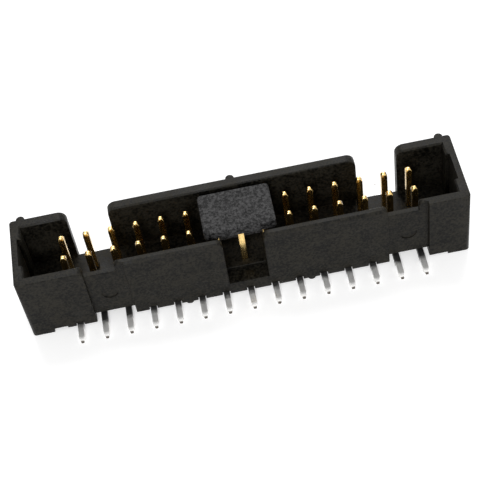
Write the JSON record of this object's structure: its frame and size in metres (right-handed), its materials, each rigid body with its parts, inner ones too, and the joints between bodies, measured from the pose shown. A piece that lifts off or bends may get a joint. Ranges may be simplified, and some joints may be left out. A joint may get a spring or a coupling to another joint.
{
  "type": "idc box header",
  "caption": "Low-profile surface-mount shrouded box header for ribbon-cable connectors, with a polarising key slot, gull-wing tails and a clip-on vacuum pick-up cap.",
  "frame": {"origin": "on the board surface, midway between the two end faces and midway between the two rows of contacts", "axes": "+X along the rows of contacts, -Y towards the side with the key slot, +Z out of the open mouth"},
  "size_m": [0.0454, 0.0128, 0.0088],
  "materials": {
    "housing": "fine moulded matte",
    "pickup_cap": "fine textured matte",
    "contact": "gold-plated post, tin-plated tail"
  },
  "bodies": {
    "root": {"housing": "housing", "pickup_cap": "pickup_cap", "pin_front_01": "contact", "pin_front_02": "contact", "pin_front_03": "contact", "pin_front_04": "contact", "pin_front_05": "contact", "pin_front_06": "contact", "pin_front_07": "contact", "pin_front_08": "contact", "pin_front_09": "contact", "pin_front_10": "contact", "pin_front_11": "contact", "pin_front_12": "contact", "pin_front_13": "contact", "pin_front_14": "contact", "pin_front_15": "contact", "pin_rear_01": "contact", "pin_rear_02": "contact", "pin_rear_03": "contact", "pin_rear_04": "contact", "pin_rear_05": "contact", "pin_rear_06": "contact", "pin_rear_07": "contact", "pin_rear_08": "contact", "pin_rear_09": "contact", "pin_rear_10": "contact", "pin_rear_11": "contact", "pin_rear_12": "contact", "pin_rear_13": "contact", "pin_rear_14": "contact", "pin_rear_15": "contact"}
  },
  "joints": []
}
